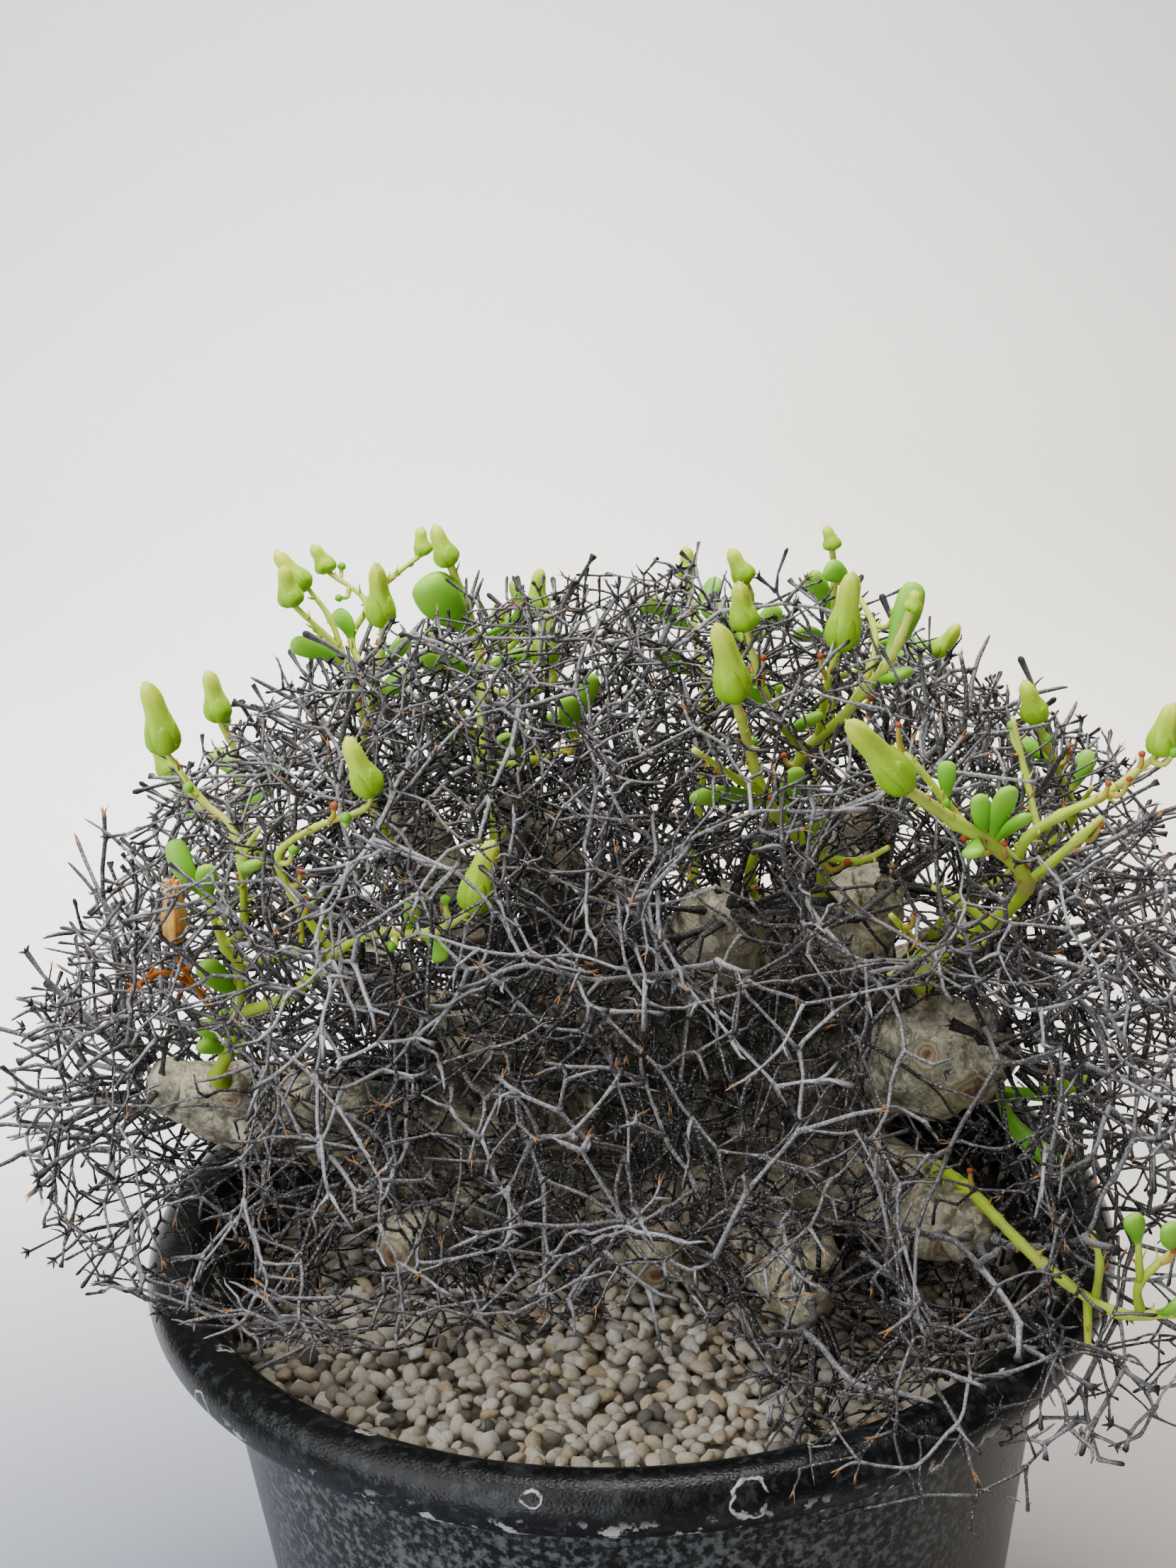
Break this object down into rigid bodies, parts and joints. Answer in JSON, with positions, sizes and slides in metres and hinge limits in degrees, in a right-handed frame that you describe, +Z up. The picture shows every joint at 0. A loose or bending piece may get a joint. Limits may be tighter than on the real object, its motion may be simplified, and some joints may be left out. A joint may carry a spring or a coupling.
{
  "type": "potted tylecodon reticulatus",
  "caption": "Caudex succulent with swollen limbs under a low dome of dry, forking flower stalks, with green buds and fat leaves, in a tapered round pot with a rolled rim and gravel top.",
  "frame": {"origin": "middle of the pot's flat underside", "axes": "+Z up; -Y towards the viewer of the picture, +X to that viewer's right"},
  "size_m": [0.2285, 0.2032, 0.26],
  "materials": {
    "pot": "black satin plastic with water marks",
    "soil": "gritty potting mix",
    "gravel": "matt washed beige grit",
    "caudex": "waxy grey-tan bark, peeling in papery flakes",
    "dry_twig": "dry weathered grey stalk",
    "green": "soft satin living green, finely hairy on the buds",
    "dried_flower": "dry papery orange brown"
  },
  "bodies": {
    "root": {"pot": "pot", "soil": "soil", "gravel": "gravel", "caudex": "caudex", "twigs_right_front": "dry_twig", "twigs_front_top": "dry_twig", "twigs_right_top": "dry_twig", "twigs_front_low": "dry_twig", "twigs_right_low": "dry_twig", "twigs_left": "dry_twig", "twigs_left_low": "dry_twig", "twigs_top": "dry_twig", "twigs_left_top": "dry_twig", "twigs_back_right": "dry_twig", "twigs_back": "dry_twig", "twigs_back_left": "dry_twig", "twigs_back_low": "dry_twig", "twigs_far_right": "dry_twig", "twigs_left_front": "dry_twig", "spray_left": "green", "spray_back_left": "green", "spray_top": "green", "spray_centre": "green", "spray_right_top": "green", "spray_right_front": "green", "spray_far_right": "green", "spray_rim": "green", "leaves_right": "green", "spray_back_right": "green", "spray_back_top": "green", "spray_back": "green", "spray_far_left": "green", "dried_flower": "dried_flower"}
  },
  "joints": []
}
